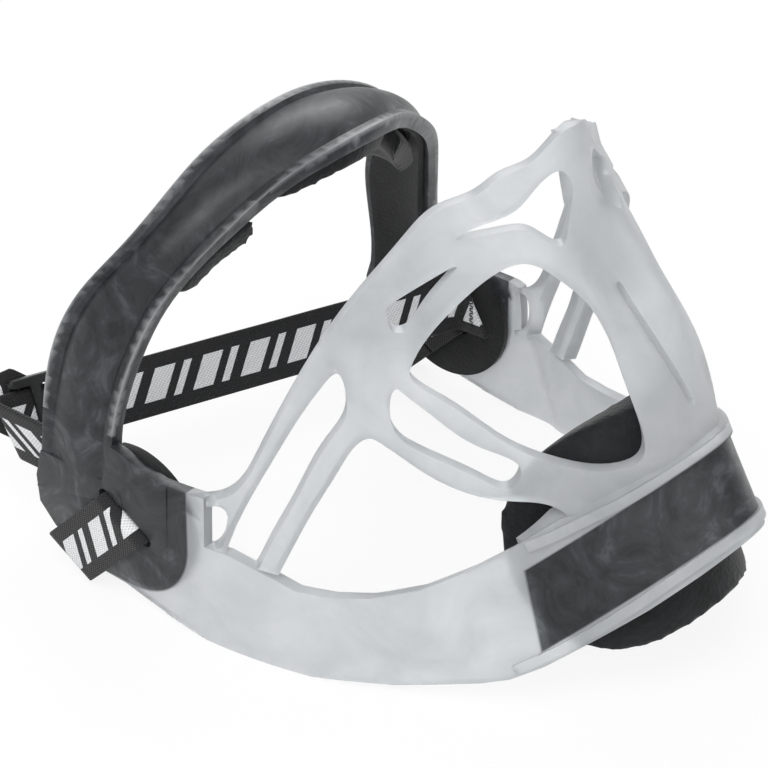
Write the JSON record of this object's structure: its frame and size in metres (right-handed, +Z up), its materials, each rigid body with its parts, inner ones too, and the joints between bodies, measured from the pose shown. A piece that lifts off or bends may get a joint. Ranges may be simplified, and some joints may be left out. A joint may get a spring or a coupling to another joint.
{
  "type": "softball face guard",
  "caption": "Frosted plastic face guard with an open cage, forehead band, foam pads and an adjustable webbing strap with a slider.",
  "frame": {"origin": "middle of the bounding box at the table", "axes": "+Z up, -Y towards the chin, +X to the wearer's left"},
  "size_m": [0.1708, 0.2396, 0.1555],
  "materials": {
    "frosted_plastic": "frosted",
    "black_foam": "fabric-faced foam",
    "hook_tape": "hook tape",
    "webbing": "woven",
    "slider_plastic": "moulded",
    "thread": "stitched"
  },
  "bodies": {
    "guard": {"face_frame": "frosted_plastic", "forehead_liner": "black_foam", "forehead_hook_centre": "hook_tape", "forehead_hook_right": "hook_tape", "forehead_hook_left": "hook_tape", "forehead_pad_centre": "black_foam", "forehead_pad_right": "black_foam", "forehead_pad_left": "black_foam", "chin_hook_patch": "hook_tape", "chin_pad": "black_foam"},
    "strap": {"strap_right_loop": "webbing", "strap_left_loop": "webbing", "strap_back_run": "webbing", "stitching_right": "thread", "stitching_left": "thread"},
    "slider": {"strap_slider": "slider_plastic", "strap_tail": "webbing"}
  },
  "joints": [
    {"name": "strap_swing", "type": "hinge", "parent": "guard", "child": "strap", "pos_m": [0, 0.04373, 0.031], "axis": [1, 0, 0], "range_deg": [-5, 5]},
    {"name": "slider_travel", "type": "slide", "parent": "strap", "child": "slider", "axis": [0.9097, -0.4147, 0.0238], "range_m": [0, 0.03]}
  ]
}
